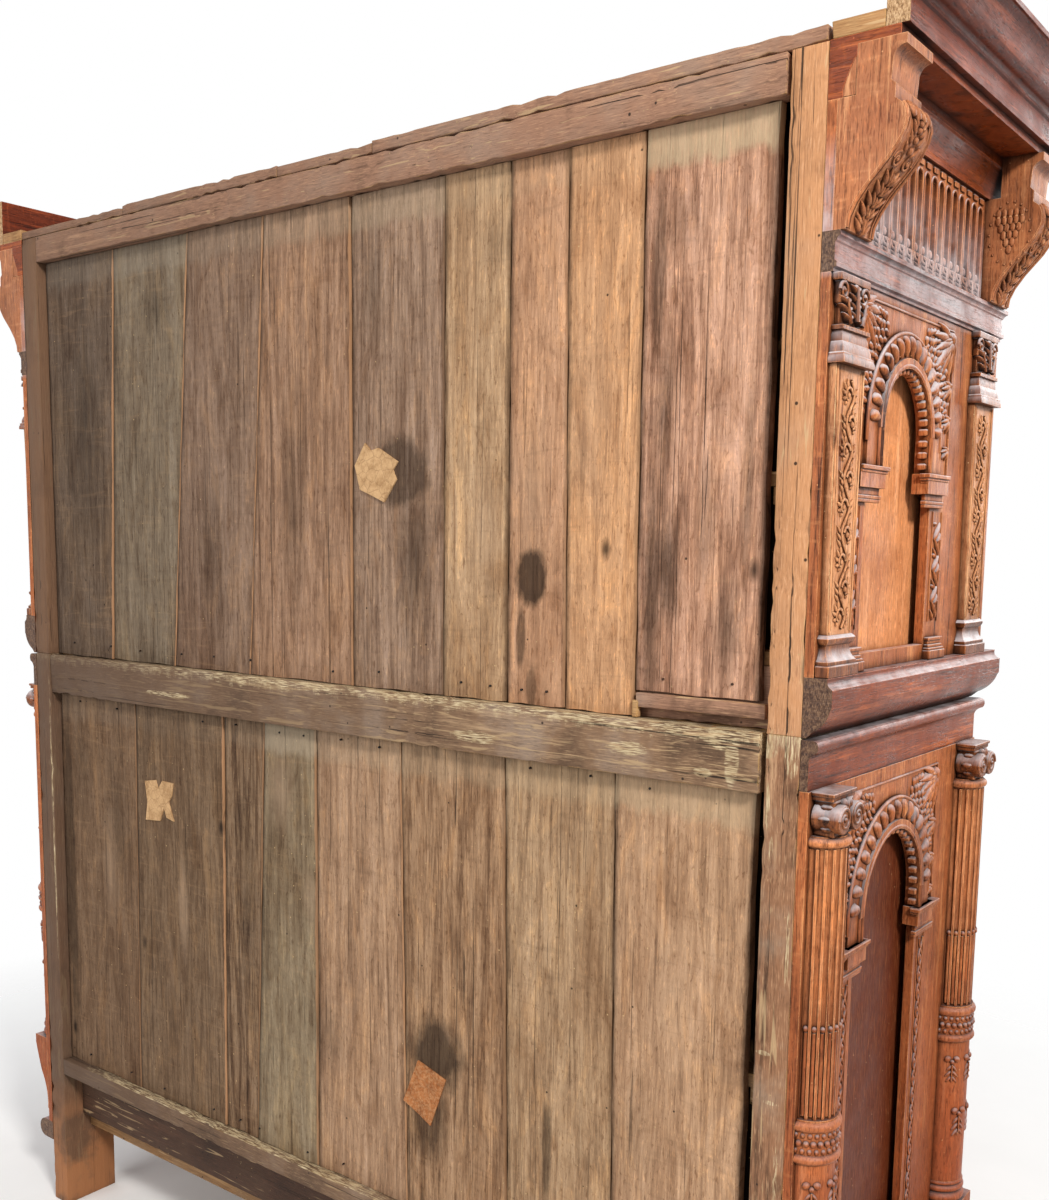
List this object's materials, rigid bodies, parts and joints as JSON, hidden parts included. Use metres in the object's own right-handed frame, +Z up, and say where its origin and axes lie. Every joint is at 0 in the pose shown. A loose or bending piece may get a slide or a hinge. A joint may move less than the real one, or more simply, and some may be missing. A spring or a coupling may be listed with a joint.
{
  "type": "court cupboard",
  "caption": "Two-stage carved oak court cupboard with engaged fluted columns, arcaded doors, drawers, consoles and a deep cornice.",
  "frame": {"origin": "on the floor, under the middle of the bounding box", "axes": "+Z up, front faces -Y, +X to the right seen from the front"},
  "size_m": [2.144, 0.808, 2.25],
  "materials": {
    "carved_oak": "dark waxed carved oak, glossy on the ridges",
    "frame_oak": "aged brown oak",
    "panel_oak": "plain orange-brown oak",
    "raw_oak": "unfinished dry oak",
    "weathered_boards": "dry grey-brown weathered boards",
    "iron": "dark forged iron"
  },
  "bodies": {
    "case": {"lower_posts": "frame_oak", "lower_rails": "frame_oak", "lower_back_boards": "weathered_boards", "side_panels": "panel_oak", "side_arcades": "carved_oak", "front_facings": "carved_oak", "lower_columns": "carved_oak", "lower_capitals": "carved_oak", "column_pedestals": "carved_oak", "lower_cornice": "carved_oak", "lower_boards": "raw_oak", "base_mouldings": "carved_oak", "bun_feet": "carved_oak", "upper_posts": "frame_oak", "upper_rails": "frame_oak", "upper_back_boards": "weathered_boards", "sill_moulding": "carved_oak", "pilasters": "frame_oak", "pilaster_capitals": "carved_oak", "pilaster_bases": "carved_oak", "architrave": "carved_oak", "frieze_boards": "carved_oak", "consoles": "carved_oak", "bed_moulding": "carved_oak", "cornice_soffit": "carved_oak", "cornice_crown": "carved_oak", "upper_boards": "raw_oak", "hinge_leaves": "iron"},
    "lower_left_door": {"lower_left_door_frame": "carved_oak", "lower_left_door_panel": "panel_oak", "lower_left_door_arcade": "carved_oak", "lower_left_door_ironwork": "iron", "lower_left_door_knob": "carved_oak"},
    "lower_left_door_bolt": {"lower_left_door_bolt": "iron"},
    "lower_right_door": {"lower_right_door_frame": "carved_oak", "lower_right_door_panel": "panel_oak", "lower_right_door_arcade": "carved_oak", "lower_right_door_ironwork": "iron", "lower_right_door_lock": "iron"},
    "lower_right_door_key": {"lower_right_door_key": "iron"},
    "lower_right_door_lock_bolt": {"lower_right_door_lock_bolt": "iron"},
    "upper_left_door": {"upper_left_door_frame": "carved_oak", "upper_left_door_panel": "panel_oak", "upper_left_door_arcade": "carved_oak", "upper_left_door_ironwork": "iron", "upper_left_door_knob": "carved_oak"},
    "upper_left_door_bolt": {"upper_left_door_bolt": "iron"},
    "upper_right_door": {"upper_right_door_frame": "carved_oak", "upper_right_door_panel": "panel_oak", "upper_right_door_arcade": "carved_oak", "upper_right_door_ironwork": "iron", "upper_right_door_lock": "iron"},
    "upper_right_door_key": {"upper_right_door_key": "iron"},
    "upper_right_door_lock_bolt": {"upper_right_door_lock_bolt": "iron"},
    "left_drawer": {"left_drawer_front": "carved_oak", "left_drawer_box": "raw_oak", "left_drawer_knobs": "carved_oak"},
    "right_drawer": {"right_drawer_front": "carved_oak", "right_drawer_box": "raw_oak", "right_drawer_knobs": "carved_oak"}
  },
  "joints": [
    {"name": "lower_left_door_hinge", "type": "hinge", "parent": "case", "child": "lower_left_door", "pos_m": [-0.8125, -0.27, 0.7785], "axis": [0, 0, -1], "range_deg": [0, 95]},
    {"name": "lower_left_door_bolt_slide", "type": "slide", "parent": "lower_left_door", "child": "lower_left_door_bolt", "axis": [0, 0, 1], "range_m": [0, 0.018]},
    {"name": "lower_right_door_hinge", "type": "hinge", "parent": "case", "child": "lower_right_door", "pos_m": [0.8125, -0.27, 0.7785], "axis": [0, 0, 1], "range_deg": [0, 95]},
    {"name": "lower_right_door_key_turn", "type": "hinge", "parent": "lower_right_door", "child": "lower_right_door_key", "pos_m": [0.087, -0.3, 0.7785], "axis": [0, -1, 0], "range_deg": [0, 90]},
    {"name": "lower_right_door_lock_bolt_slide", "type": "slide", "parent": "lower_right_door", "child": "lower_right_door_lock_bolt", "axis": [-1, 0, 0], "range_m": [0, 0.018]},
    {"name": "upper_left_door_hinge", "type": "hinge", "parent": "case", "child": "upper_left_door", "pos_m": [-0.8125, -0.27, 1.56], "axis": [0, 0, -1], "range_deg": [0, 95]},
    {"name": "upper_left_door_bolt_slide", "type": "slide", "parent": "upper_left_door", "child": "upper_left_door_bolt", "axis": [0, 0, 1], "range_m": [0, 0.018]},
    {"name": "upper_right_door_hinge", "type": "hinge", "parent": "case", "child": "upper_right_door", "pos_m": [0.8125, -0.27, 1.56], "axis": [0, 0, 1], "range_deg": [0, 95]},
    {"name": "upper_right_door_key_turn", "type": "hinge", "parent": "upper_right_door", "child": "upper_right_door_key", "pos_m": [0.087, -0.3, 1.56], "axis": [0, -1, 0], "range_deg": [0, 90]},
    {"name": "upper_right_door_lock_bolt_slide", "type": "slide", "parent": "upper_right_door", "child": "upper_right_door_lock_bolt", "axis": [-1, 0, 0], "range_m": [0, 0.018]},
    {"name": "left_drawer_slide", "type": "slide", "parent": "case", "child": "left_drawer", "axis": [0, -1, 0], "range_m": [0, 0.3]},
    {"name": "right_drawer_slide", "type": "slide", "parent": "case", "child": "right_drawer", "axis": [0, -1, 0], "range_m": [0, 0.3]}
  ],
  "couplings": [
    {"joint": "lower_right_door_lock_bolt_slide", "follows": "lower_right_door_key_turn", "m_per_rad": 0.0114},
    {"joint": "upper_right_door_lock_bolt_slide", "follows": "upper_right_door_key_turn", "m_per_rad": 0.0114}
  ]
}
